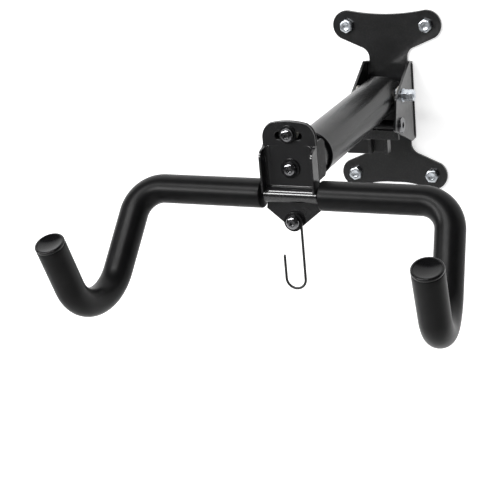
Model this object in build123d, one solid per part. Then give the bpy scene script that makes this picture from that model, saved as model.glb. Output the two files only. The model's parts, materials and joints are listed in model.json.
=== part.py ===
from build123d import *
import os
from math import cos, radians, sin, sqrt

# Folding wall rack for one bicycle, in millimetres.
# +Z is up, +Y points into the wall, and the wall surface is the plane y = 0.
# The origin is the centre of the wall plate's back face, midway between the screws.

# ---------------------------------------------------------------- driving sizes
# Wall plate
SCREW_SPACING_X = 101.6
SCREW_SPACING_Z = 192.0
PLATE_T = 4.0
EAR_R = 18.8
EDGE_Z_TOP = 110.0
EDGE_Z_BOTTOM = -107.0
WAIST_HALF = 24.5
WAIST_Z = 57.0
SIDE_Z = 69.0
SIDE_X = 35.0
HOLE_CLEARANCE_R = 0.25

# Side flanges of the wall plate
FLANGE_T = 3.0
FLANGE_OUT_X = 30.3
FLANGE_PROFILE = [(0, 51), (0, -48), (-15, -48), (-81, -17), (-71, 21), (-12, 53)]

# Wall screws, hex head lag screws
WALL_SCREW_R = 5.0
WALL_SCREW_SHOULDER_R = 5.6
WALL_SCREW_LENGTH = 60.0
WALL_SCREW_HEAD_AF = 14.8
WALL_SCREW_HEAD_H = 6.2

# Arm
ARM_Z = 16.6
ARM_TUBE_R = 25.0
ARM_TUBE_WALL = 2.0
ARM_TUBE_FRONT_Y = -281.0
NECK_R = 22.0
NECK_WALL = 2.0
NECK_INSERT = 19.0

# Fold pivot, an M8 bolt across the flanges
PIVOT_Y = -47.0
PIVOT_Z = 19.5
PIVOT_R = 4.0
RUNNING_GAP = 0.05
BODY_GAP = 0.3
PIVOT_SLEEVE_R = 8.0
HEX_M8_AF = 13.0

# Stop under the arm
STOP_Y = -60.0
STOP_Z = -14.5
STOP_ROLLER_R = 5.8
STOP_BOLT_R = 4.0

# Brace under the arm
CHANNEL_HALF = 12.5
CHANNEL_T = 4.0
CHANNEL_FRONT_Y = -62.0
CHANNEL_BACK_Y = -49.0
CHANNEL_TOP_Z = -33.0
CHANNEL_LOW_Z = -52.0
WING_LEFT_X = -40.0
WING_T = 3.0

# Hook bar: a 13 mm steel rod in thick sleeves, set slightly to the left in its clamp
BAR_Y = -343.8
BAR_Z = -9.35
BAR_R = 6.5
BAR_SHIFT_X = -4.1
SLEEVE_R = 15.87
SLEEVE_START_X = 32.6
CORNER_X = 175.7
CORNER_BEND_R = 32.9
HOOK_LOW = (192.4, -453.5, -154.4)
HOOK_BEND_R = 48.9
HOOK_TIP = (197.8, -507.0, -15.3)
CAP_T = 3.5
CAP_PLUG = 14.0
CAP_DISH_R = 30.5
CAP_DISH_DEPTH = 3.2

# Tilting head
HEAD_T = 2.5
HEAD_BACK_Y = -341.0
HEAD_HALF = 30.0
HEAD_TOP_Z = 70.2
HEAD_SHOULDER_Z = 46.0
HEAD_FLANGE_FRONT_Y = -357.0
HEAD_FLANGE_REAR_Y = -318.0
HEAD_FLANGE_LOW_Z = -5.0
HEAD_BEND_R = 7.0
STRAP_LOW_Z = -19.0
LOCK_BOLT_RISE = 36.8
ROLL_PIVOT_Z = 19.3
ROLL_LIMIT = 15.0
SLOT_HALF_ANGLE = 17.0
HEAD_BOLT_R = 4.0
SLOT_HALF_WIDTH = 4.4
TAB_BOLT_Z = -38.8
TAB_END_R = 10.0
ARM_PLATE_T = 4.0
ARM_PLATE_BACK_Y = -330.3

# Washers under bolts and nuts
WASHER_T = 1.6

# Accessory hook, one bent wire
WIRE_R = 1.4
EYE_R = 7.6
HOOK_DROP = 66.0
HOOK_MOUTH_R = 11.0
HOOK_RISE = 26.0

os.makedirs("parts", exist_ok=True)


# ---------------------------------------------------------------- helpers
def save(node, *solids):
    """Write one node as a STEP file."""
    shape = solids[0] if len(solids) == 1 else Compound(children=list(solids))
    shape.label = node
    export_step(shape, f"parts/{node}.step")
    volume = sum(solid.volume for solid in solids)
    print(f"{node}: {len(solids)} solid(s), {volume / 1000:.2f} cm3")


def one(shape):
    """The single solid of a result."""
    solids = shape.solids()
    assert len(solids) == 1, f"expected one solid, got {len(solids)}"
    return solids[0]


def rod_y(x, z, y0, y1, r):
    """Cylinder along Y from y0 to y1."""
    plane = Plane(origin=(x, y0, z), x_dir=(1, 0, 0), z_dir=(0, 1, 0))
    return extrude(plane * Circle(r), amount=y1 - y0)


def rod_x(y, z, x0, x1, r):
    """Cylinder along X from x0 to x1."""
    plane = Plane(origin=(x0, y, z), x_dir=(0, 1, 0), z_dir=(1, 0, 0))
    return extrude(plane * Circle(r), amount=x1 - x0)


def ring_y(x, z, y0, y1, r_out, r_in):
    """Washer or bush along Y."""
    return one(rod_y(x, z, y0, y1, r_out) - rod_y(x, z, y0 - 1, y1 + 1, r_in))


def ring_x(y, z, x0, x1, r_out, r_in):
    """Washer or bush along X."""
    return one(rod_x(y, z, x0, x1, r_out) - rod_x(y, z, x0 - 1, x1 + 1, r_in))


def hex_prism(centre, axis, across_flats, height):
    """Hexagonal prism with both ends chamfered to a circle, as on a nut."""
    plane = Plane(origin=centre, z_dir=axis)
    flat_r = across_flats / 2
    corner_r = flat_r / cos(radians(30))
    prism = extrude(plane * RegularPolygon(corner_r, 6), amount=height)
    drum = chamfer(Cylinder(corner_r, height).edges(), 0.9)
    drum = plane * Pos(0, 0, height / 2) * drum
    return one(prism & drum)


def slab_y(sketch, y_front, y_back):
    """Sheet drawn in XZ, filling y_front to y_back."""
    plane = Plane(origin=(0, y_back, 0), x_dir=(1, 0, 0), z_dir=(0, -1, 0))
    return extrude(plane * sketch, amount=y_back - y_front)


def slab_x(points, x0, x1):
    """Sheet drawn in YZ, filling x0 to x1."""
    plane = Plane(origin=(x0, 0, 0), x_dir=(0, 1, 0), z_dir=(1, 0, 0))
    return extrude(plane * make_face(Polyline(*points, close=True)), amount=x1 - x0)


def bar_path(start, end_cut=0.0):
    """Right half of the hook bar's centreline from x = start to the tip."""
    low = Vector(*HOOK_LOW)
    tip = Vector(*HOOK_TIP)
    tip = tip + (low - tip).normalized() * end_cut
    points = [(start, BAR_Y, BAR_Z), (CORNER_X, BAR_Y, BAR_Z), HOOK_LOW, tip]
    return FilletPolyline(*points, radius=[CORNER_BEND_R, HOOK_BEND_R])


def pipe(path, r):
    """Round bar along a path that starts along X."""
    section = Plane(origin=path @ 0, z_dir=path % 0) * Circle(r)
    return sweep(section, path=path)


def flip(shape):
    """Mirror image through the plane x = 0."""
    return mirror(shape, about=Plane.YZ)


# ---------------------------------------------------------------- wall plate
def quarter_outline(side, edge_z):
    """Edges from the middle of the top (side = 1) or bottom (side = -1) to the waist."""
    hole_x = SCREW_SPACING_X / 2
    hole_z = SCREW_SPACING_Z / 2
    lean = radians(35)
    ear_top = (hole_x - 5.0, side * (hole_z + sqrt(EAR_R**2 - 5.0**2)))
    ear_side = (hole_x + EAR_R, side * hole_z)
    ear_low = (hole_x + EAR_R * sin(lean), side * (hole_z - EAR_R * cos(lean)))
    bend_end = (SIDE_X, side * SIDE_Z)
    waist = (WAIST_HALF, side * WAIST_Z)
    return [
        ThreePointArc((0, edge_z), (hole_x * 0.48, edge_z + side * 1.2), ear_top),
        ThreePointArc(ear_top, ear_side, ear_low),
        Line(ear_low, bend_end),
        ThreePointArc(bend_end, (WAIST_HALF + 2.2, side * (WAIST_Z + 6.0)), waist),
        Line(waist, (WAIST_HALF, 0)),
    ]


def half_outline():
    """Right half of the dog-bone plate, drawn in XZ."""
    middle = Line((0, EDGE_Z_TOP), (0, EDGE_Z_BOTTOM))
    return make_face([*quarter_outline(1, EDGE_Z_TOP), *quarter_outline(-1, EDGE_Z_BOTTOM), middle])


def wall_plate():
    half = half_outline()
    outline = half + mirror(half, about=Plane.YZ)
    web = Pos(0, 1.5) * Rectangle(2 * FLANGE_OUT_X, 99)
    plate = slab_y(outline + web, -PLATE_T, 0)
    for x in (-SCREW_SPACING_X / 2, SCREW_SPACING_X / 2):
        for z in (-SCREW_SPACING_Z / 2, SCREW_SPACING_Z / 2):
            plate -= rod_y(x, z, -PLATE_T - 1, 1, WALL_SCREW_SHOULDER_R + HOLE_CLEARANCE_R)
    flange = slab_x(FLANGE_PROFILE, FLANGE_OUT_X - FLANGE_T, FLANGE_OUT_X)
    corners = flange.edges().filter_by(Axis.X).sort_by(Axis.Y)[:2]
    flange = fillet(corners, 4.0)
    flange -= rod_x(PIVOT_Y, PIVOT_Z, 0, 60, PIVOT_R + HOLE_CLEARANCE_R)
    flange -= rod_x(STOP_Y, STOP_Z, 0, 60, STOP_BOLT_R + HOLE_CLEARANCE_R)
    return one(plate + flange + flip(flange))


# ---------------------------------------------------------------- fasteners
def wall_screw(x, z):
    """Lag screw: hex head, shoulder through the plate, plain shank, pointed end."""
    head_y = -PLATE_T - WALL_SCREW_HEAD_H
    head = hex_prism((x, head_y, z), (0, 1, 0), WALL_SCREW_HEAD_AF, WALL_SCREW_HEAD_H)
    tip = 9.0
    shank_end = WALL_SCREW_LENGTH - PLATE_T - tip
    shoulder = rod_y(x, z, -PLATE_T - 0.5, 0, WALL_SCREW_SHOULDER_R)
    shank = rod_y(x, z, -0.5, shank_end, WALL_SCREW_R)
    cone_plane = Plane(origin=(x, shank_end, z), z_dir=(0, 1, 0))
    cone = cone_plane * Pos(0, 0, tip / 2) * Cone(WALL_SCREW_R, 1.0, tip)
    return one(head + shoulder + shank + cone)


def button_bolt(z, head_seat_y, end_y):
    """Socket button-head bolt along Y, its domed head on the -Y side."""
    head_h = 5.0
    head_r = 7.4
    base = Plane(origin=(0, head_seat_y, z), z_dir=(0, -1, 0))
    head = base * Pos(0, 0, head_h / 2) * Cylinder(head_r, head_h)
    head = fillet(head.edges().sort_by(Axis.Y)[0], 3.6)
    socket = base * Pos(0, 0, head_h - 2.5) * extrude(RegularPolygon(2.9, 6), amount=4)
    shank = rod_y(0, z, head_seat_y - 1, end_y, HEAD_BOLT_R)
    return one(head + shank - socket)


def nut(centre, axis, height, bore_r=PIVOT_R, across_flats=HEX_M8_AF):
    body = hex_prism(centre, axis, across_flats, height)
    bore = Plane(origin=centre, z_dir=axis) * Pos(0, 0, height / 2) * Cylinder(bore_r, height + 2)
    return one(body - bore)


def pivot_bolt(left_seat_x, right_end_x):
    """Bolt across the flanges with a low round head on the left."""
    head = rod_x(PIVOT_Y, PIVOT_Z, left_seat_x - 2.4, left_seat_x, 8.0)
    head = chamfer(head.edges().sort_by(Axis.X)[0], 0.8)
    shank = rod_x(PIVOT_Y, PIVOT_Z, left_seat_x - 1, right_end_x, PIVOT_R)
    end = shank.edges().sort_by(Axis.X)[-1]
    return one(head + chamfer(end, 0.8))


def stop_bolt(right_seat_x, left_end_x):
    """Low round head on the right, socket in its middle."""
    head = rod_x(STOP_Y, STOP_Z, right_seat_x, right_seat_x + 3.2, 9.6)
    head = chamfer(head.edges().sort_by(Axis.X)[-1], 1.0)
    socket_plane = Plane(origin=(right_seat_x + 1.0, STOP_Y, STOP_Z), z_dir=(1, 0, 0))
    socket = extrude(socket_plane * RegularPolygon(4.0, 6), amount=4)
    shank = rod_x(STOP_Y, STOP_Z, left_end_x, right_seat_x + 0.5, STOP_BOLT_R)
    return one(head + shank - socket)


# ---------------------------------------------------------------- brace under the arm
def cross_brace():
    """Pressed angle welded between the flanges: a shelf and a front face."""
    inner_x = FLANGE_OUT_X - FLANGE_T
    shelf = [(-62, -21.5), (-62, -33), (-59, -33), (-59, -24.5), (-50, -24.5), (-50, -21.5)]
    return one(slab_x(shelf, -inner_x, inner_x))


def brace_channel():
    """Short channel welded under the brace, open towards the room, with a flat wing to the left."""
    depth = CHANNEL_BACK_Y - CHANNEL_FRONT_Y
    height = CHANNEL_TOP_Z - CHANNEL_LOW_Z
    middle = Pos(0, (CHANNEL_BACK_Y + CHANNEL_FRONT_Y) / 2, (CHANNEL_TOP_Z + CHANNEL_LOW_Z) / 2)
    block = middle * Box(2 * CHANNEL_HALF, depth, height)
    recess = middle * Pos(0, -CHANNEL_T, 0) * Box(2 * (CHANNEL_HALF - CHANNEL_T), depth, height + 2)
    wing_x = (WING_LEFT_X - CHANNEL_HALF) / 2
    wing = Pos(wing_x, CHANNEL_FRONT_Y + 1 + WING_T / 2, (CHANNEL_TOP_Z + CHANNEL_LOW_Z) / 2)
    wing = wing * Box(-CHANNEL_HALF - WING_LEFT_X, WING_T, height)
    return one(block - recess + wing)


# ---------------------------------------------------------------- arm
def arm_tube():
    """Round tube whose rear end is a half-round nose at the fold pivot."""
    tube = rod_y(0, ARM_Z, ARM_TUBE_FRONT_Y, PIVOT_Y + ARM_TUBE_R + 1, ARM_TUBE_R)
    tube -= rod_y(0, ARM_Z, ARM_TUBE_FRONT_Y - 1, PIVOT_Y + ARM_TUBE_R + 2, ARM_TUBE_R - ARM_TUBE_WALL)
    nose = rod_x(PIVOT_Y, ARM_Z, -40, 40, ARM_TUBE_R)
    front = Pos(0, PIVOT_Y - 150, ARM_Z) * Box(80, 300, 80)
    tube = tube & (nose + front)
    return one(tube - rod_x(PIVOT_Y, PIVOT_Z, -40, 40, PIVOT_SLEEVE_R))


def front_bush():
    """Black end ring that fills the step between the arm tube and the neck."""
    spigot = rod_y(0, ARM_Z, ARM_TUBE_FRONT_Y, ARM_TUBE_FRONT_Y + NECK_INSERT, ARM_TUBE_R - ARM_TUBE_WALL)
    rim = rod_y(0, ARM_Z, ARM_TUBE_FRONT_Y - 4, ARM_TUBE_FRONT_Y, ARM_TUBE_R + 0.4)
    rim = fillet(rim.edges().sort_by(Axis.Y)[0], 1.5)
    bore = rod_y(0, ARM_Z, ARM_TUBE_FRONT_Y - 9, ARM_TUBE_FRONT_Y + 40, NECK_R)
    return one(spigot + rim - bore)


def arm_end_plate():
    """Plate across the neck's end, with a wide ear that backs the arc slot."""
    lock_z = ROLL_PIVOT_Z + LOCK_BOLT_RISE
    disc = Pos(0, ARM_Z) * Circle(24)
    ears = [Pos(x, lock_z) * Circle(9.5) for x in (-7.5, 7.5)]
    outline = make_hull((disc + ears).edges())
    plate = slab_y(outline, ARM_PLATE_BACK_Y - ARM_PLATE_T, ARM_PLATE_BACK_Y)
    for z in (ROLL_PIVOT_Z, lock_z):
        plate -= rod_y(0, z, -360, -300, HEAD_BOLT_R + HOLE_CLEARANCE_R)
    return one(plate)


# ---------------------------------------------------------------- tilting head
def head_outline(half_width):
    """Outline shared by the two head plates: rounded top, straight sides, pointed tab."""
    crown_x = half_width - 9.5
    crown_z = HEAD_TOP_Z - 2.6
    cheek = (half_width - 2.8, crown_z - 6.3)
    side_top = (half_width, crown_z - 15.5)
    side_low = (half_width, STRAP_LOW_Z)
    left = [(-x, z) for x, z in (side_low, side_top, cheek)]
    body = make_face(
        [
            Line(left[0], left[1]),
            ThreePointArc(left[1], left[2], (-crown_x, crown_z)),
            ThreePointArc((-crown_x, crown_z), (0, HEAD_TOP_Z), (crown_x, crown_z)),
            ThreePointArc((crown_x, crown_z), cheek, side_top),
            Line(side_top, side_low),
            Line(side_low, left[0]),
        ]
    )
    tab_top = Polyline((-29.5, -17), (-31, -26), (31, -26), (29.5, -17), close=True)
    tab_end = Pos(0, TAB_BOLT_Z) * Circle(TAB_END_R)
    tab = make_hull((make_face(tab_top) + tab_end).edges())
    return body + tab


def cut_head_holes(plate):
    """Pivot hole, arc slot for the lock bolt, and the clamp bolt hole."""
    plate -= rod_y(0, ROLL_PIVOT_Z, -380, -300, HEAD_BOLT_R + RUNNING_GAP)
    plate -= rod_y(0, TAB_BOLT_Z, -380, -300, HEAD_BOLT_R + HOLE_CLEARANCE_R)
    outer = Circle(LOCK_BOLT_RISE + SLOT_HALF_WIDTH) - Circle(LOCK_BOLT_RISE - SLOT_HALF_WIDTH)
    reach = 60.0
    edge_x = reach * sin(radians(SLOT_HALF_ANGLE))
    edge_z = reach * cos(radians(SLOT_HALF_ANGLE))
    wedge = make_face(Polyline((0, 0), (-edge_x, edge_z), (edge_x, edge_z), close=True))
    slot = outer & wedge
    for angle in (-SLOT_HALF_ANGLE, SLOT_HALF_ANGLE):
        end_x = LOCK_BOLT_RISE * sin(radians(angle))
        end_z = LOCK_BOLT_RISE * cos(radians(angle))
        slot += Pos(end_x, end_z) * Circle(SLOT_HALF_WIDTH)
    return plate - slab_y(Pos(0, ROLL_PIVOT_Z) * slot, -360, -330)


def front_flanges():
    """Channel with large inside bends whose two sides stand forward of the front plate."""
    front_y = HEAD_BACK_Y - HEAD_T
    lip_y = HEAD_FLANGE_FRONT_Y
    depth = HEAD_BACK_Y - lip_y
    top_z = HEAD_SHOULDER_Z
    low_z = HEAD_FLANGE_LOW_Z
    block = Pos(0, HEAD_BACK_Y - depth / 2) * Rectangle(2 * HEAD_HALF, depth)
    hollow = Pos(0, front_y - depth / 2) * Rectangle(2 * (HEAD_HALF - HEAD_T), depth)
    hollow = fillet(hollow.vertices().sort_by(Axis.Y)[-2:], HEAD_BEND_R)
    channel = extrude(Pos(0, 0, low_z) * (block - hollow), amount=top_z - low_z)
    curve_start = (lip_y, top_z - 13)
    shoulder = (lip_y + 6, top_z - 5)
    straight = Polyline((HEAD_BACK_Y, top_z), (HEAD_BACK_Y, low_z), (lip_y, low_z), curve_start)
    side = [
        *straight.edges(),
        ThreePointArc(curve_start, (lip_y + 1.8, top_z - 8), shoulder),
        ThreePointArc(shoulder, (lip_y + 12, top_z - 3.3), (HEAD_BACK_Y, top_z)),
    ]
    side_plane = Plane(origin=(-HEAD_HALF, 0, 0), x_dir=(0, 1, 0), z_dir=(1, 0, 0))
    return channel & extrude(side_plane * make_face(side), amount=2 * HEAD_HALF)


def half_strap(side):
    """Half-round saddle over the bar, on the front (side = -1) or rear (side = 1) plate."""
    strap = rod_x(BAR_Y, BAR_Z, -HEAD_HALF, HEAD_HALF, BAR_R + RUNNING_GAP + HEAD_T)
    return strap & (Pos(0, HEAD_BACK_Y + side * 30, BAR_Z) * Box(100, 60, 60))


def front_clamp():
    """Front plate with forward flanges and a saddle over the bar."""
    plate = slab_y(head_outline(HEAD_HALF - 0.5), HEAD_BACK_Y - HEAD_T, HEAD_BACK_Y)
    plate = plate + front_flanges() + half_strap(-1)
    plate -= rod_x(BAR_Y, BAR_Z, -60, 60, BAR_R + RUNNING_GAP)
    return one(cut_head_holes(plate))


def rear_clamp():
    """Rear plate with rearward flanges and a groove behind the bar."""
    plate = slab_y(head_outline(HEAD_HALF), HEAD_BACK_Y, HEAD_BACK_Y + HEAD_T)
    side = [
        (HEAD_BACK_Y, 47),
        (HEAD_BACK_Y, 5.5),
        (HEAD_FLANGE_REAR_Y - 4, 5.5),
        (HEAD_FLANGE_REAR_Y, 9.5),
        (HEAD_FLANGE_REAR_Y, 42),
        (HEAD_FLANGE_REAR_Y - 6, 47),
    ]
    flange = slab_x(side, HEAD_HALF - HEAD_T, HEAD_HALF)
    plate = plate + flange + flip(flange) + half_strap(1)
    plate -= rod_x(BAR_Y, BAR_Z, -60, 60, BAR_R + RUNNING_GAP)
    return one(cut_head_holes(plate))


# ---------------------------------------------------------------- hook bar
def hook_bar():
    """Bent steel rod with both hooks, in one piece."""
    low = Vector(*HOOK_LOW)
    tip = Vector(*HOOK_TIP)
    tip = tip + (low - tip).normalized() * (CAP_T + CAP_PLUG)
    right = [(CORNER_X, BAR_Y, BAR_Z), HOOK_LOW, tuple(tip)]
    left = [(-x, y, z) for x, y, z in reversed(right)]
    bends = [HOOK_BEND_R, CORNER_BEND_R, CORNER_BEND_R, HOOK_BEND_R]
    path = FilletPolyline(*left, *right, radius=bends)
    return one(pipe(path, BAR_R))


def sleeve(start_x):
    """Thick foam sleeve over the right half of the bar."""
    path = bar_path(start_x, CAP_T)
    return one(pipe(path, SLEEVE_R) - pipe(path, BAR_R))


def end_cap():
    """Right-hand cap: a dished disc with a rim and a stem inside the sleeve."""
    low = Vector(*HOOK_LOW)
    tip = Vector(*HOOK_TIP)
    plane = Plane(origin=HOOK_TIP, x_dir=(1, 0, 0), z_dir=tip - low)
    disc = Pos(0, 0, -CAP_T / 2) * Cylinder(SLEEVE_R, CAP_T)
    disc = fillet(disc.edges().sort_by(Axis.Z)[-1], 1.2)
    dish = Pos(0, 0, CAP_DISH_R - CAP_DISH_DEPTH) * Sphere(CAP_DISH_R)
    stem = Pos(0, 0, -CAP_T - CAP_PLUG / 2) * Cylinder(BAR_R, CAP_PLUG)
    return one(plane * (disc - dish + stem))


# ---------------------------------------------------------------- accessory hook
def accessory_hook():
    """Wire eye round the clamp bolt, a straight shank, and an open hook."""
    y = WIRE_Y
    eye = Plane(origin=(0, y, TAB_BOLT_Z), z_dir=(0, -1, 0)) * Torus(EYE_R, WIRE_R)
    low_z = TAB_BOLT_Z - HOOK_DROP
    shank = Line((EYE_R, y, TAB_BOLT_Z), (EYE_R, y, low_z))
    left_x = EYE_R - 2 * HOOK_MOUTH_R
    bend = ThreePointArc((EYE_R, y, low_z), (EYE_R - HOOK_MOUTH_R, y, low_z - HOOK_MOUTH_R), (left_x, y, low_z))
    rise = Line((left_x, y, low_z), (left_x, y, low_z + HOOK_RISE))
    path = Wire([shank, bend, rise])
    wire = sweep(Plane(origin=path @ 0, z_dir=path % 0) * Circle(WIRE_R), path=path)
    tip = Pos(left_x, y, low_z + HOOK_RISE) * Sphere(WIRE_R)
    return one(eye + wire + tip)


# ---------------------------------------------------------------- build and write
inner_x = FLANGE_OUT_X - FLANGE_T
lock_z = ROLL_PIVOT_Z + LOCK_BOLT_RISE
head_front_y = HEAD_BACK_Y - HEAD_T
head_rear_y = HEAD_BACK_Y + HEAD_T
arm_plate_front_y = ARM_PLATE_BACK_Y - ARM_PLATE_T
WIRE_Y = head_front_y - BODY_GAP - WIRE_R

save("wall_plate", wall_plate())
screw_xz = [(sx * SCREW_SPACING_X / 2, sz * SCREW_SPACING_Z / 2) for sx in (-1, 1) for sz in (-1, 1)]
save("wall_screws", *[wall_screw(x, z) for x, z in screw_xz])
save("cross_brace", cross_brace())
save("brace_channel", brace_channel())

# Fold pivot
right_seat = FLANGE_OUT_X + WASHER_T
save("pivot_bolt", pivot_bolt(-FLANGE_OUT_X, right_seat + 14.5))
save("pivot_washer", ring_x(PIVOT_Y, PIVOT_Z, FLANGE_OUT_X, right_seat, 8.5, PIVOT_R))
save("pivot_nut", nut((right_seat, PIVOT_Y, PIVOT_Z), (1, 0, 0), 6.5))
save("pivot_lock_nut", nut((right_seat + 6.5, PIVOT_Y, PIVOT_Z), (1, 0, 0), 7.0))
thrust = ring_x(PIVOT_Y, PIVOT_Z, ARM_TUBE_R + BODY_GAP, inner_x, 11, PIVOT_R + HOLE_CLEARANCE_R)
save("thrust_washers", thrust, flip(thrust))
sleeve_bore_r = PIVOT_R + RUNNING_GAP
save("pivot_sleeve", ring_x(PIVOT_Y, PIVOT_Z, -ARM_TUBE_R, ARM_TUBE_R, PIVOT_SLEEVE_R, sleeve_bore_r))

# Stop
save("stop_bolt", stop_bolt(FLANGE_OUT_X, -FLANGE_OUT_X - 9))
save("stop_nut", nut((-FLANGE_OUT_X, STOP_Y, STOP_Z), (-1, 0, 0), 6.5, STOP_BOLT_R))
save("stop_roller", ring_x(STOP_Y, STOP_Z, -inner_x, inner_x, STOP_ROLLER_R, STOP_BOLT_R))

# Arm
neck_back_y = ARM_TUBE_FRONT_Y + NECK_INSERT
save("arm_tube", arm_tube())
save("front_bush", front_bush())
save("neck_tube", ring_y(0, ARM_Z, ARM_PLATE_BACK_Y, neck_back_y, NECK_R, NECK_R - NECK_WALL))
save("arm_end_plate", arm_end_plate())

# Bolts that join the head to the arm, at the roll pivot and in the arc slot
washer_back_y = head_front_y - BODY_GAP
head_seat_y = washer_back_y - WASHER_T
nut_h = 6.5
bolt_end_y = ARM_PLATE_BACK_Y + nut_h + 1.5
save("roll_pivot_bolt", button_bolt(ROLL_PIVOT_Z, head_seat_y, bolt_end_y))
save("roll_lock_bolt", button_bolt(lock_z, head_seat_y, bolt_end_y))
both_z = (ROLL_PIVOT_Z, lock_z)
pivot_front_washer = ring_y(0, ROLL_PIVOT_Z, head_seat_y, washer_back_y, 10.5, HEAD_BOLT_R)
lock_front_washer = ring_y(0, lock_z, head_seat_y, washer_back_y, 9.6, HEAD_BOLT_R)
save("roll_washers", pivot_front_washer, lock_front_washer)
spacer_front_y = head_rear_y + BODY_GAP
save("roll_spacers", *[ring_y(0, z, spacer_front_y, arm_plate_front_y, 9, HEAD_BOLT_R) for z in both_z])
save("roll_nuts", *[nut((0, ARM_PLATE_BACK_Y, z), (0, 1, 0), nut_h) for z in both_z])

# Head
save("front_clamp", front_clamp())
save("rear_clamp", rear_clamp())
eye_space_y = WIRE_Y - WIRE_R - BODY_GAP
save("clamp_spacer", ring_y(0, TAB_BOLT_Z, eye_space_y, head_front_y, 5.6, HEAD_BOLT_R))
hook_washer_y = eye_space_y - WASHER_T
save("hook_washer", ring_y(0, TAB_BOLT_Z, hook_washer_y, eye_space_y, 10.5, HEAD_BOLT_R))
save("clamp_bolt", button_bolt(TAB_BOLT_Z, hook_washer_y, head_rear_y + WASHER_T + nut_h + 1.5))
save("clamp_washer", ring_y(0, TAB_BOLT_Z, head_rear_y, head_rear_y + WASHER_T, 8.4, HEAD_BOLT_R))
save("clamp_nut", nut((0, head_rear_y + WASHER_T, TAB_BOLT_Z), (0, 1, 0), nut_h))
save("accessory_hook", accessory_hook())

# Hook bar, slid sideways in the clamp so the two sleeves start at different lengths
shift = Pos(BAR_SHIFT_X, 0, 0)
right_cap = end_cap()
save("hook_bar", shift * hook_bar())
save("sleeve_right", shift * sleeve(SLEEVE_START_X - BAR_SHIFT_X))
save("sleeve_left", shift * flip(sleeve(SLEEVE_START_X + BAR_SHIFT_X)))
save("end_cap_right", shift * right_cap)
save("end_cap_left", shift * flip(right_cap))
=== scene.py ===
# %% [markdown]
# # A folding wall rack for one bicycle
#
# The real rack is a black pressed-steel plate on the wall, a round arm hinged to it, and a head
# that clamps a bent bar with two soft hooks. The measured solids come in as a frame that stays
# where it is. This lesson gives them their looks, and builds the soft, threaded and welded parts.

# %% Load the frame
import json
from math import cos, pi, radians, sin, tan

import bmesh
import bpy
from mathutils import Matrix, Vector


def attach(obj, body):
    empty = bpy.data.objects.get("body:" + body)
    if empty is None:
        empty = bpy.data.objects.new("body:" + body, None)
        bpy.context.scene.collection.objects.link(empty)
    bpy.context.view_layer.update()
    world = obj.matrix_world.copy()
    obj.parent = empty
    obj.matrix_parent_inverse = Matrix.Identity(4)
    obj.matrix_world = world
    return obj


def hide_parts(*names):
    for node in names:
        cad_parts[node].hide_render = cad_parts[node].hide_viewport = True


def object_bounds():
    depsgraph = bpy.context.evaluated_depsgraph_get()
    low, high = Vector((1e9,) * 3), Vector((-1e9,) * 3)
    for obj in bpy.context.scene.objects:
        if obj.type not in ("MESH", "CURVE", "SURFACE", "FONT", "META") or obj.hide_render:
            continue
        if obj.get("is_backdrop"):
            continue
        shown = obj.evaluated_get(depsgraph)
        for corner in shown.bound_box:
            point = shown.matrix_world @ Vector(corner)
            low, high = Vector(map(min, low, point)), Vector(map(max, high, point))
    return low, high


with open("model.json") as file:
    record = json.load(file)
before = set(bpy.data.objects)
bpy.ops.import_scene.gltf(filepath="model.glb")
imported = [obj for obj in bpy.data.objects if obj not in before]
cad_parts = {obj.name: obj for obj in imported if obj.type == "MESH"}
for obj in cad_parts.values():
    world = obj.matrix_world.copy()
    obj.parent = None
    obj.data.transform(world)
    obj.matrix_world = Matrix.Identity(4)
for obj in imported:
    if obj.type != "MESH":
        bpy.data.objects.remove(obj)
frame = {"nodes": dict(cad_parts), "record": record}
cad_box = [list(corner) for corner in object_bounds()]
print("pieces in the frame:", len(frame["nodes"]))
print("box of the solids in metres:", cad_box)

# %% [markdown]
# ## The camera
#
# A catalogue picture of a wall rack is taken from the front right and a little above, so that
# the arm, the head and both hooks show at once. The camera could be aimed with a constraint. It
# is simply placed with three turns here, so that the view never depends on another object.

# %% Place the camera
lens_mm, sensor_mm = 100.97, 36.0
camera_place = (0.5444, -1.6377, 0.4515)
turn_deg, down_deg, roll_deg = 24.87, 20.28, -5.44
camera_data = bpy.data.cameras.new("camera")
camera_data.lens = lens_mm
camera_data.sensor_width = sensor_mm
camera = bpy.data.objects.new("camera", camera_data)
bpy.context.scene.collection.objects.link(camera)
turn = Matrix.Rotation(radians(turn_deg), 4, "Z")
look_down = Matrix.Rotation(radians(90 - down_deg), 4, "X")
roll = Matrix.Rotation(radians(roll_deg), 4, "Z")
camera.matrix_world = Matrix.Translation(camera_place) @ turn @ look_down @ roll
bpy.context.scene.camera = camera
print("lens:", lens_mm, "mm, distance:", round(camera.location.length, 3), "m")

# %% [markdown]
# ## Building shader trees
#
# Every finish is a small tree of nodes. Two helpers keep the trees short: one adds a node and
# fills its sockets, the other adds a noise pattern whose size is given in millimetres, measured
# on the piece itself, so that the grain stays put when a joint moves.

# %% Node helpers
def add_node(tree, kind, **sockets):
    made = tree.nodes.new(kind)
    for name, value in sockets.items():
        made.inputs[name.replace("_", " ")].default_value = value
    return made


def pattern(tree, size_mm, detail=3.0, rough=0.55):
    """Noise on the piece's own coordinates, with grains about size_mm across."""
    place = tree.nodes.new("ShaderNodeTexCoord")
    noise = add_node(
        tree, "ShaderNodeTexNoise", Scale=1000.0 / size_mm, Detail=detail, Roughness=rough)
    tree.links.new(place.outputs["Object"], noise.inputs["Vector"])
    return noise.outputs["Fac"]


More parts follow.
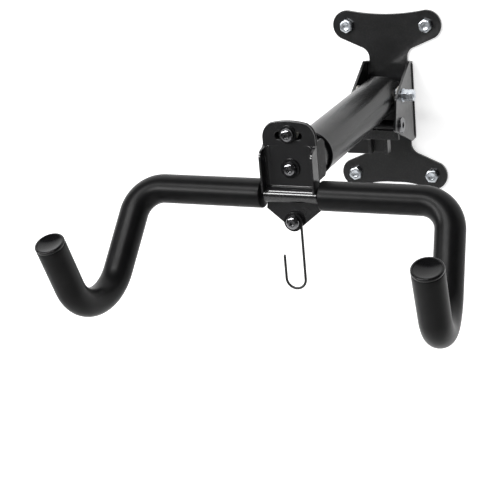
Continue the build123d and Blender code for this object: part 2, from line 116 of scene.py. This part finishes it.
def two_tones(tree, factor, first, second, low=0.35, high=0.65):
    """Colours blended by a pattern, from first at low to second at high."""
    ramp = tree.nodes.new("ShaderNodeValToRGB")
    ramp.color_ramp.elements[0].position = low
    ramp.color_ramp.elements[1].position = high
    ramp.color_ramp.elements[0].color = (*first, 1.0)
    ramp.color_ramp.elements[1].color = (*second, 1.0)
    tree.links.new(factor, ramp.inputs["Fac"])
    return ramp.outputs["Color"]


print("helpers ready: add_node, pattern, two_tones")

# %% [markdown]
# ## One recipe for every finish
#
# Paint, plating, nylon and foam differ in colour, gloss and grain, but are built alike: a slow
# pattern that shifts the colour, another that shifts the gloss, and a fine one that raises the
# surface. Where the mesh is sharp, a lighter colour flecked by noise is laid on the corners: a
# painted edge highlight with a little wear.

# %% The finish recipe
lacquer_roughness = 0.11


def finish(
        name, dark, light, gloss, grain_mm, height_mm, rub_and_glint=None, patch_mm=18.0,
        metallic=0.0, specular=0.5, lacquer=0.0, lacquer_ior=1.5):
    """gloss is (smoothest, roughest); rub_and_glint lightens sharp corners: painted highlight, a
    little wear.
    """
    material = bpy.data.materials.new(name)
    material.use_nodes = True
    tree = material.node_tree
    shader = tree.nodes["Principled BSDF"]
    shader.inputs["Metallic"].default_value = metallic
    shader.inputs["Specular IOR Level"].default_value = specular
    shader.inputs["Coat Weight"].default_value = lacquer
    shader.inputs["Coat Roughness"].default_value = lacquer_roughness
    shader.inputs["Coat IOR"].default_value = lacquer_ior
    colour = two_tones(tree, pattern(tree, patch_mm, 5.0), dark, light)
    # Sharp corners, flecked by noise, take a lighter colour: a painted edge highlight with a
    # little wear.
    if rub_and_glint:
        corners = tree.nodes.new("ShaderNodeNewGeometry").outputs["Pointiness"]
        edge = add_node(tree, "ShaderNodeMapRange", From_Min=0.52, From_Max=0.62, To_Max=0.75)
        tree.links.new(corners, edge.inputs["Value"])
        speckle = add_node(tree, "ShaderNodeMapRange", From_Min=0.42, From_Max=0.7)
        tree.links.new(pattern(tree, 2.2, 4.0), speckle.inputs["Value"])
        rub_and_glint_mask = tree.nodes.new("ShaderNodeMath")
        rub_and_glint_mask.operation = "MULTIPLY"
        tree.links.new(edge.outputs["Result"], rub_and_glint_mask.inputs[0])
        tree.links.new(speckle.outputs["Result"], rub_and_glint_mask.inputs[1])
        blend = tree.nodes.new("ShaderNodeMix")
        blend.data_type = "RGBA"
        tree.links.new(rub_and_glint_mask.outputs["Value"], blend.inputs["Factor"])
        tree.links.new(colour, blend.inputs["A"])
        blend.inputs["B"].default_value = (*rub_and_glint, 1.0)
        colour = blend.outputs["Result"]
    tree.links.new(colour, shader.inputs["Base Color"])
    smoothest, roughest = gloss
    sheen = add_node(
        tree, "ShaderNodeMapRange", From_Min=0.3, From_Max=0.7, To_Min=smoothest, To_Max=roughest)
    tree.links.new(pattern(tree, patch_mm * 0.4, 6.0, 0.6), sheen.inputs["Value"])
    tree.links.new(sheen.outputs["Result"], shader.inputs["Roughness"])
    relief = add_node(tree, "ShaderNodeBump", Strength=1.0, Distance=height_mm / 1000.0)
    tree.links.new(pattern(tree, grain_mm, 2.0), relief.inputs["Height"])
    tree.links.new(relief.outputs["Normal"], shader.inputs["Normal"])
    return material


print("recipe ready, lacquer roughness:", lacquer_roughness)

# %% [markdown]
# ## The finishes of this rack
#
# The plates have a fine, slightly pebbled powder coat. The round arm is coated too, but lies
# smoother. The strap that folds over the bar is the glossiest plate, and the plates behind it are
# the dullest. The front plate that carries the strap also gets a lighter black than the other
# plates, which is painted light on its face. Screws and pivot are bright zinc, the head's bolts
# are black and glossy, and the sleeves are closed-cell foam with a smooth satin skin. One black
# for all of it would be simpler, but then the parts would run together.

# %% Mix the finishes
finishes = {
    "black_powder_coat": finish(
        "black_powder_coat", (0.0030, 0.0031, 0.0035), (0.0052, 0.0053, 0.0058),
        (0.28, 0.36), 0.9, 0.008,
        rub_and_glint=(0.05, 0.05, 0.05), lacquer=0.8),
    "head_coat": finish(
        "head_coat", (0.0034, 0.0034, 0.0038), (0.0056, 0.0056, 0.0060), (0.26, 0.33), 0.9, 0.006,
        rub_and_glint=(0.06, 0.06, 0.06), specular=0.07),
    # The front plate's black is painted lighter than the other plates: painted light on its face,
    # not a different paint.
    "strap_coat_painted_lit": finish(
        "strap_coat_painted_lit", (0.0105, 0.0105, 0.0112), (0.0140, 0.0140, 0.0148), (0.28, 0.36), 0.9, 0.006,
        rub_and_glint=(0.03, 0.03, 0.03), specular=0.12, lacquer=0.5, lacquer_ior=2.2),
    "black_gloss_coat": finish(
        "black_gloss_coat", (0.0030, 0.0031, 0.0035), (0.0050, 0.0051, 0.0056),
        (0.23, 0.27), 1.6, 0.003,
        rub_and_glint=(0.05, 0.05, 0.05), patch_mm=60.0, specular=0.35),
    "zinc_steel": finish(
        "zinc_steel", (0.66, 0.70, 0.75), (0.80, 0.84, 0.88), (0.24, 0.34), 0.8, 0.004,
        rub_and_glint=(0.97, 0.97, 0.97), patch_mm=7.0, metallic=1.0),
    "black_bolt_steel": finish(
        "black_bolt_steel", (0.22, 0.22, 0.23), (0.34, 0.34, 0.35), (0.08, 0.15), 0.7, 0.004,
        rub_and_glint=(0.4, 0.4, 0.41), patch_mm=3.0, metallic=1.0),
    "nylon": finish(
        "nylon", (0.62, 0.60, 0.55), (0.72, 0.70, 0.65), (0.38, 0.5), 0.8, 0.006, patch_mm=5.0),
    "black_plastic": finish(
        "black_plastic", (0.004, 0.004, 0.0045), (0.006, 0.006, 0.0065), (0.14, 0.20), 0.5, 0.004,
        patch_mm=8.0, specular=0.3),
    "black_rubber": finish(
        "black_rubber", (0.0050, 0.0050, 0.0053), (0.0075, 0.0075, 0.0079),
        (0.31, 0.37), 0.9, 0.010,
        patch_mm=14.0, specular=0.17),
    "black_wire": finish(
        "black_wire", (0.012, 0.012, 0.012), (0.02, 0.02, 0.02), (0.25, 0.38), 0.4, 0.005,
        rub_and_glint=(0.2, 0.2, 0.2), patch_mm=6.0),
    "bar_steel": finish(
        "bar_steel", (0.014, 0.014, 0.015), (0.022, 0.022, 0.023), (0.28, 0.4), 0.8, 0.008,
        rub_and_glint=(0.15, 0.15, 0.15), patch_mm=10.0),
}
print("finishes:", ", ".join(finishes))

# %% [markdown]
# ## Plates, tubes, bolts and nuts
#
# These are pressed, turned or sawn from steel, and the solids already hold their true outlines,
# bends and holes. What they lack is the soft corner that tumbling and paint leave, because a
# knife-sharp edge never catches the light. A bevel modifier adds it and leaves the solid alone.
# Joining the corners and the flats first lets the bevel run along whole edges.

# %% Round the corners
def soft_corners(part, width_mm):
    part.data.polygons.foreach_set("use_smooth", [True] * len(part.data.polygons))
    join = part.modifiers.new("join corners", "WELD")
    join.merge_threshold = 0.00001
    flats = part.modifiers.new("join flats", "DECIMATE")
    flats.decimate_type = "DISSOLVE"
    flats.angle_limit = radians(0.6)
    bevel = part.modifiers.new("soft corners", "BEVEL")
    bevel.width = width_mm / 1000.0
    bevel.segments = 2
    bevel.limit_method = "ANGLE"
    bevel.angle_limit = radians(35)
    bevel.use_clamp_overlap = False
    shade = part.modifiers.new("even shading", "WEIGHTED_NORMAL")
    shade.weight = 90


small_corner_mm = 0.2
corner_mm = {
    "wall_plate": 0.5, "cross_brace": 0.4, "brace_channel": 0.5, "arm_tube": 0.5,
    "front_bush": 0.3, "neck_tube": 0.3, "arm_end_plate": 0.5, "front_clamp": 0.45,
    "rear_clamp": 0.45,
}
slots = {part["node"]: part["material_slot"] for part in frame["record"]["subparts"]}
own_finish = {
    "rear_clamp": "head_coat", "arm_end_plate": "head_coat", "front_clamp": "strap_coat_painted_lit",
    "roll_washers": "black_gloss_coat", "hook_washer": "black_gloss_coat",
}
for name, part in frame["nodes"].items():
    coat = own_finish.get(name, slots[name])
    part.data.materials.clear()
    part.data.materials.append(finishes[coat])
    soft_corners(part, corner_mm.get(name, small_corner_mm))
    print(name, "points:", len(part.data.vertices), "finish:", coat)

# %% [markdown]
# ## Turning points into pieces
#
# Every piece that follows is a mesh made from lists of points. One helper turns such a list into
# an object, gives it its finish, lets it ride on the part of the rack that carries it, and hides
# the solid it stands for. Most of these pieces are rings of points joined one to the next, so
# there are helpers for a ring, for the faces between rings and for the lids at the ends.

# %% Piece helpers
def make_piece(name, mesh_points, faces, body, slot, replaces=()):
    mesh = bpy.data.meshes.new(name)
    mesh.from_pydata([tuple(p) for p in mesh_points], [], faces)
    mesh.validate()
    build = bmesh.new()
    build.from_mesh(mesh)
    bmesh.ops.recalc_face_normals(build, faces=build.faces)
    build.to_mesh(mesh)
    build.free()
    mesh.polygons.foreach_set("use_smooth", [True] * len(mesh.polygons))
    mesh.set_sharp_from_angle(angle=radians(50))
    mesh.materials.append(finishes[slot])
    piece = bpy.data.objects.new(name, mesh)
    bpy.context.scene.collection.objects.link(piece)
    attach(piece, body)
    if replaces:
        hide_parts(*replaces)
    size = [round(1000 * d, 1) for d in piece.dimensions]
    print(name, "faces:", len(mesh.polygons), "size in mm:", size)
    return piece


def circle(middle, side, up, radius, count):
    """Points spaced evenly round a middle, in the plane of side and up."""
    angles = [2 * pi * j / count for j in range(count)]
    return [middle + side * radius * cos(a) + up * radius * sin(a) for a in angles]


def lids(points, count):
    """One face over the first ring and one over the last."""
    return [tuple(range(count)), tuple(range(len(points) - count, len(points)))]


def stitch(rings, looped=False):
    """Points and faces of a skin over rings; if looped, the last ring joins the first."""
    count = len(rings[0])
    points = [p for ring in rings for p in ring]
    faces = []
    pairs = len(rings) if looped else len(rings) - 1
    for i in range(pairs):
        a, b = i * count, ((i + 1) % len(rings)) * count
        for j in range(count):
            k = (j + 1) % count
            faces.append((a + j, a + k, b + k, b + j))
    return points, faces


print("helpers ready: make_piece, circle, lids, stitch")

# %% [markdown]
# ## The bent centreline
#
# The bar under the sleeves is a rod bent at four places. A maker sets it out as straight runs
# with a bending radius at each corner, so the centreline is worked out in the same way: each
# corner is cut back and rounded with an arc. A hand-drawn curve would bulge in the wrong places.

# %% Centreline with rounded bends
def round_bends(corners, radii, step_deg=3.0, run_mm=6.0):
    """Points along straight runs and arcs; radii belong to the inner corners."""
    corners = [Vector(c) for c in corners]
    stops = [corners[0]]
    for before, corner, after, radius in zip(corners, corners[1:], corners[2:], radii):
        into = (corner - before).normalized()
        away = (after - corner).normalized()
        angle = into.angle(away)
        cut = radius * tan(angle / 2)
        start = corner - into * cut
        side = (away - into * away.dot(into)).normalized()
        centre = start + side * radius
        steps = max(3, int(angle / radians(step_deg)))
        for i in range(steps + 1):
            turn = angle * i / steps
            stops.append(centre - side * radius * cos(turn) + into * radius * sin(turn))
    stops.append(corners[-1])
    line = [stops[0]]
    for a, b in zip(stops, stops[1:]):
        pieces = max(1, int((b - a).length / (run_mm / 1000.0)))
        line += [a.lerp(b, (i + 1) / pieces) for i in range(pieces)]
    return line


def frames_along(line):
    """A pair of side directions at each point that never twist along the line."""
    ahead = [(b - a).normalized() for a, b in zip(line, line[1:])]
    ahead = [ahead[0]] + [(a + b).normalized() for a, b in zip(ahead, ahead[1:])] + [ahead[-1]]
    side = ahead[0].orthogonal().normalized()
    found = []
    for direction in ahead:
        side = (side - direction * side.dot(direction)).normalized()
        found.append((side, direction.cross(side), direction))
    return found


bar_y, bar_z, shift_x = -0.3438, -0.00935, -0.0041
corner, low, tip = (0.1757, bar_y, bar_z), (0.1924, -0.4535, -0.1544), (0.1978, -0.5070, -0.0153)
bend_radii, half_gap = (0.0329, 0.0489), 0.0326
cap_thickness, sleeve_radius, rod_radius = 0.0035, 0.01587, 0.0065
cap_axis = (Vector(tip) - Vector(low)).normalized()


def placed(point, side):
    """A point of the right half moved to its own side of the rack."""
    return Vector((side * point[0] + shift_x, point[1], point[2]))


lines = {}
for side, word in ((1, "right"), (-1, "left")):
    sleeve_end = Vector(tip) - cap_axis * cap_thickness
    start = Vector((side * half_gap, bar_y, bar_z))
    corners = [start, placed(corner, side), placed(low, side), placed(sleeve_end, side)]
    lines[word] = round_bends(corners, bend_radii)
    length = sum((b - a).length for a, b in zip(lines[word], lines[word][1:]))
    print(word, "sleeve runs", round(1000 * length), "mm along its middle")

# %% [markdown]
# ## The foam sleeves
#
# Each sleeve is a thick tube of closed-cell foam pushed over the rod, so that a painted frame
# never touches steel. It could be a curve with a round bevel, but the ends must be cut square
# with a small rounded lip and show the hole for the rod. Rings of points along the centreline
# give that.

# %% Push the sleeves on
def foam_tube(line, radius, bore, lip=0.0014, around=56):
    frames = frames_along(line)
    travelled = [0.0]
    for a, b in zip(line, line[1:]):
        travelled.append(travelled[-1] + (b - a).length)
    total = travelled[-1]
    turns = [radians(18 * step) for step in range(6)]
    stations = [(lip * (1 - cos(turn)), radius - lip * (1 - sin(turn))) for turn in turns]
    rings = []

    def ring(index, ahead_by, r):
        side, up, direction = frames[index]
        return circle(line[index] + direction * ahead_by, side, up, r, around)

    for ahead_by, r in stations:
        rings.append(ring(0, ahead_by, r))
    for index in range(1, len(line) - 1):
        if lip < travelled[index] < total - lip:
            rings.append(ring(index, 0.0, radius))
    for ahead_by, r in reversed(stations):
        rings.append(ring(-1, -ahead_by, r))
    rings.append(ring(-1, 0.0, bore))
    for index in range(len(line) - 2, 0, -1):
        rings.append(ring(index, 0.0, bore))
    rings.append(ring(0, 0.0, bore))
    return stitch(rings, looped=True)


rod_clearance = 0.00005
for word in ("right", "left"):
    points, faces = foam_tube(lines[word], sleeve_radius, rod_radius + rod_clearance)
    sleeve = make_piece(
        "foam_sleeve_" + word, points, faces, "bar", "black_rubber", ["sleeve_" + word])

# %% [markdown]
# ## The end caps
#
# A moulded plug closes each sleeve: a rim, a shallow dish inside it, and a stem in the foam. A
# round moulding is the same all the way round, so its outline is drawn once and spun.

# %% Spin the caps
def spin(outline, origin, axis, around=64):
    """Rings from (radius, height) pairs about an axis."""
    axis = Vector(axis).normalized()
    side = axis.orthogonal().normalized()
    up = axis.cross(side)
    rings = [
        circle(Vector(origin) + axis * height, side, up, radius, around)
        for radius, height in outline]
    points, faces = stitch(rings)
    return points, faces + lids(points, around)


r, t = sleeve_radius, cap_thickness
stem_radius, stem_length = rod_radius - 0.0001, 0.0138
rim_roll, rim_low = 0.0013, -0.0014
dish_radius, dish_top, dish_depth = 0.0131, -0.0011, 0.0021
stem = [(rod_radius - 0.0006, -t - stem_length), (stem_radius, -t - 0.0130), (stem_radius, -t)]
edge = [(r - 0.0004, -t), (r, -t + 0.0004), (r, rim_low)]
for turn in [radians(a) for a in (20, 45, 70, 90)]:
    edge.append((r - rim_roll * (1 - cos(turn)), rim_low + rim_roll * sin(turn)))
dish = [(r - 0.0022, -0.0001), (r - 0.0025, -0.0006), (r - 0.0027, dish_top)]
for k in (0.98, 0.9, 0.8, 0.65, 0.5, 0.35, 0.2, 0.08):
    dish.append((dish_radius * k, dish_top - dish_depth * (1 - k * k)))
for side, word in ((1, "right"), (-1, "left")):
    axis = (side * cap_axis.x, cap_axis.y, cap_axis.z)
    points, faces = spin(stem + edge + dish, placed(tip, side), axis)
    make_piece("plug_cap_" + word, points, faces, "bar", "black_plastic", ["end_cap_" + word])

# %% [markdown]
# ## The wall screws
#
# Four zinc-plated lag screws hold the rack: a hexagon head with turned corners, a smooth
# shoulder in the plate, and a coarse thread in the wall. The head's corners could be cut with a
# cone. Here every ring follows the hexagon and drops where the cone would have cut it.

# %% Turn the screws
def hexagon(angle, across):
    """Distance from the middle to a hexagon's side in that direction."""
    return across / 2 / cos((angle + pi / 6) % (pi / 3) - pi / 6)


across, head, seat = 0.0148, 0.0062, -0.004
shoulder, shank, root = 0.0056, 0.005, 0.0037
pitch, rings_per_turn, thread_rings = 0.0035, 10, 124
thread_start, point_end, point_length = 0.0125, 0.0556, 0.011


def lag_screw(x, z, turned, around=72):
    angles = [2 * pi * j / around for j in range(around)]
    rings = []

    def ring(y, radii):
        rings.append([Vector((x + q * cos(a), y, z + q * sin(a))) for a, q in zip(angles, radii)])

    sides = [hexagon(a + turned, across) for a in angles]
    face = across / 2 * 0.97
    ring(seat - head + 0.0005, [0.0006] * around)
    ring(seat - head + 0.0004, [face * 0.42] * around)
    ring(seat - head + 0.0002, [face * 0.50] * around)
    ring(seat - head, [face * 0.58] * around)
    ring(seat - head, [face * 0.93] * around)
    ring(seat - head + 0.0002, [face] * around)
    drop = [head - 0.0002 - (q - face) * 0.62 for q in sides]
    rings.append([
        Vector((x + q * cos(a), seat - d, z + q * sin(a)))
        for a, q, d in zip(angles, sides, drop)])
    ring(seat - 0.0008, sides)
    ring(seat - 0.0003, [q * 0.985 for q in sides])
    ring(seat, [across / 2 * 0.99] * around)
    ring(seat, [shoulder] * around)
    ring(-0.0001, [shoulder] * around)
    ring(0.0, [0.0054] * around)
    ring(0.0003, [shank] * around)
    ring(0.012, [shank] * around)
    for step in range(thread_rings):
        y = thread_start + step * pitch / rings_per_turn
        taper = min(1.0, max(0.12, (point_end - y) / point_length))
        radii = []
        for a in angles:
            phase = (y / pitch + a / (2 * pi)) % 1.0
            crest = max(0.0, 1.0 - abs(phase - 0.5) / 0.28)
            radii.append((root + (shank - root) * min(1.0, crest * 1.15)) * taper)
        ring(y, radii)
    points, faces = stitch(rings)
    return points, faces + lids(points, around)


screw_x, screw_z = 0.0508, 0.096
screw_points, screw_faces = [], []
for sign_x, sign_z, turned in ((-1, -1, 0.2), (1, -1, 0.55), (-1, 1, 0.0), (1, 1, 0.85)):
    points, faces = lag_screw(sign_x * screw_x, sign_z * screw_z, turned)
    first = len(screw_points)
    screw_points += points
    screw_faces += [tuple(first + i for i in f) for f in faces]
make_piece("lag_screws", screw_points, screw_faces, "wall_bracket", "zinc_steel", ["wall_screws"])

# %% [markdown]
# ## The small wire hook
#
# One wire is wound once round the clamp bolt, drops straight down and turns up into an open
# hook for a helmet strap. A straight sweep through its bends is enough, with a domed end so that
# it doesn't scratch.

# %% Bend the wire
wire, eye, eye_z, hook_y, wire_sides = 0.0014, 0.0076, -0.0388, -0.3452, 20
mouth, drop, rise = 0.011, 0.066, 0.026
winding = [radians(d) for d in range(14, 361, 8)]
path = [Vector((eye * cos(a), hook_y, eye_z + eye * sin(a))) for a in winding]
path += [Vector((eye, hook_y, eye_z - drop * i / 12)) for i in range(1, 13)]
turn_z = eye_z - drop
bend = [radians(d) for d in range(-10, -181, -10)]
path += [Vector((eye - mouth + mouth * cos(a), hook_y, turn_z + mouth * sin(a))) for a in bend]
path += [Vector((eye - 2 * mouth, hook_y, turn_z + rise * i / 6)) for i in range(1, 7)]
frames = frames_along(path)
rings = [circle(middle, side, up, wire, wire_sides) for (side, up, _), middle in zip(frames, path)]
side, up, ahead = frames[-1]
for turn in [radians(d) for d in (30, 60, 85)]:
    middle = path[-1] + ahead * wire * sin(turn)
    rings.append(circle(middle, side, up, wire * cos(turn), wire_sides))
points, faces = stitch(rings)
faces += lids(points, wire_sides)
make_piece("wire_hook", points, faces, "small_hook", "black_wire", ["accessory_hook"])

# %% [markdown]
# ## Weld beads
#
# The side flanges are welded to the wall plate and the neck tube to its end plate. A weld is a
# row of overlapping puddles, so the bead's thickness rises and falls along the seam. A plain
# round bar in the corner would be quicker, but would look like a wire laid there.

# %% Lay the beads
puddle, bead_sides = 0.0022, 14


def bead(name, seam, radius, body, closed=False):
    frames = frames_along(seam + [seam[0]] if closed else seam)
    travelled, rings = 0.0, []
    for i, middle in enumerate(seam):
        travelled += (middle - seam[i - 1]).length if i else 0.0
        wave = abs(sin(pi * travelled / puddle))
        ends = 1.0 if closed else min(1.0, 0.35 + min(i, len(seam) - 1 - i) * 0.22)
        side, up, _ = frames[i]
        q = radius * (0.82 + 0.18 * wave) * ends
        rings.append(circle(middle, side, up, q, bead_sides))
    points, faces = stitch(rings, looped=closed)
    if not closed:
        faces += lids(points, bead_sides)
    return make_piece(name, points, faces, body, "black_powder_coat")


low_z, high_z, flange_x, plate_y = -0.0465, 0.0495, 0.0303, -0.0042
heights = [low_z + (high_z - low_z) * i / 130 for i in range(131)]
for side, word in ((1, "right"), (-1, "left")):
    seam = [Vector((side * flange_x, plate_y, z)) for z in heights]
    bead("flange_weld_" + word, seam, 0.0016, "wall_bracket")
neck_radius, neck_y, neck_z = 0.0221, -0.3301, 0.0166
around_neck = [2 * pi * i / 180 for i in range(180)]
seam = [
    Vector((neck_radius * cos(a), neck_y, neck_z + neck_radius * sin(a))) for a in around_neck]
bead("neck_weld", seam, 0.0015, "arm", closed=True)

# %% [markdown]
# ## Wall and floor
#
# The rack hangs on a plain pale wall above a pale floor. The wall is solid only from the room's
# side, so that the back of the rack can be looked at as well. The wall could be lit by lamps
# alone, but a clean white would then need so much light that black parts turned grey. So its
# paint glows a little by itself, and less in reflections than to the eye.

# %% Wall and floor
def pale(name, colour):
    material = bpy.data.materials.new(name)
    material.use_nodes = True
    tree = material.node_tree
    shader = tree.nodes["Principled BSDF"]
    shader.inputs["Roughness"].default_value = 0.9
    shader.inputs["Specular IOR Level"].default_value = 0.1
    shader.inputs["Emission Color"].default_value = (1.0, 1.0, 1.0, 1.0)
    tint = two_tones(tree, pattern(tree, 400.0), colour, [c * 0.99 for c in colour])
    tree.links.new(tint, shader.inputs["Base Color"])
    return material


def dim_in_reflections(material, glow, share):
    """The paint glows fully only where it is looked at, so that black parts stay black."""
    tree = material.node_tree
    direct = tree.nodes.new("ShaderNodeLightPath").outputs["Is Camera Ray"]
    level = add_node(tree, "ShaderNodeMapRange", To_Min=glow * share, To_Max=glow)
    tree.links.new(direct, level.inputs["Value"])
    shader = tree.nodes["Principled BSDF"]
    tree.links.new(level.outputs["Result"], shader.inputs["Emission Strength"])


def one_sided(material):
    """Clear when seen from behind."""
    tree = material.node_tree
    solid = tree.nodes["Principled BSDF"].outputs["BSDF"]
    clear = tree.nodes.new("ShaderNodeBsdfTransparent").outputs["BSDF"]
    behind = tree.nodes.new("ShaderNodeNewGeometry").outputs["Backfacing"]
    mix = tree.nodes.new("ShaderNodeMixShader")
    for source, socket in ((behind, 0), (solid, 1), (clear, 2)):
        tree.links.new(source, mix.inputs[socket])
    tree.links.new(mix.outputs["Shader"], tree.nodes["Material Output"].inputs["Surface"])


def board(name, corners, material):
    mesh = bpy.data.meshes.new(name)
    mesh.from_pydata(corners, [], [(0, 1, 2, 3)])
    mesh.materials.append(material)
    piece = bpy.data.objects.new(name, mesh)
    bpy.context.scene.collection.objects.link(piece)
    piece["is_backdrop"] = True
    print(name, "corners:", corners)


wall_y, left, right, front, floor_z, top_z = 0.0005, -3, 3, -4, -1, 2.2
wall_glow, share_in_reflections = 0.62, 0.6
wall_finish = pale("wall_paint", (0.85, 0.85, 0.85))
dim_in_reflections(wall_finish, wall_glow, share_in_reflections)
one_sided(wall_finish)
bottom_edge = [(left, wall_y, floor_z), (right, wall_y, floor_z)]
board("wall", bottom_edge + [(right, wall_y, top_z), (left, wall_y, top_z)], wall_finish)
front_edge = [(left, front, floor_z), (right, front, floor_z)]
board("floor", front_edge + bottom_edge[::-1], pale("floor_paint", (0.8, 0.8, 0.8)))

# %% [markdown]
# ## Lights
#
# Black parts show their form only by what they reflect. A wide, low strip at the front left
# draws the long soft highlights along the sleeves, and a narrow strip above the front draws the
# thin one on the strap's fold. A bright world would be less work, but would turn every black
# part an even grey, so it stays nearly dark.

# %% Set the lights
def softbox(name, place, aim, size, watts):
    data = bpy.data.lights.new(name, "AREA")
    data.shape = "RECTANGLE"
    data.size, data.size_y = size
    data.energy = watts
    light = bpy.data.objects.new(name, data)
    light.location = place
    light.rotation_euler = (Vector(aim) - Vector(place)).to_track_quat("-Z", "Y").to_euler()
    bpy.context.scene.collection.objects.link(light)
    print(name, watts, "W")


softbox("key", (-1.40, -1.95, 0.66), (0, -0.3, 0), (2.1, 0.4), 40)
softbox("ceiling", (-0.3, -1.45, 1.25), (0, -0.3, 0), (1.3, 0.30), 16)
world_strength = 0.05
world = bpy.data.worlds.new("room light")
bpy.context.scene.world = world
world.use_nodes = True
world.node_tree.nodes["Background"].inputs["Color"].default_value = (1.0, 1.0, 1.0, 1.0)
world.node_tree.nodes["Background"].inputs["Strength"].default_value = world_strength
bpy.context.scene.view_settings.view_transform = "Standard"
print("world strength:", world_strength)

# %% [markdown]
# ## Measure
#
# The looks must not change the size of the rack, so the growth of the box of the finished pieces
# over the box of the solids is printed.

# %% Measure
new_box = [list(corner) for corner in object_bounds()]
ends = zip(cad_box[0], new_box[0], cad_box[1], new_box[1])
grown = [round(1000 * max(a - b, d - c), 2) for a, b, c, d in ends]
print("grown in mm along x, y, z:", grown)
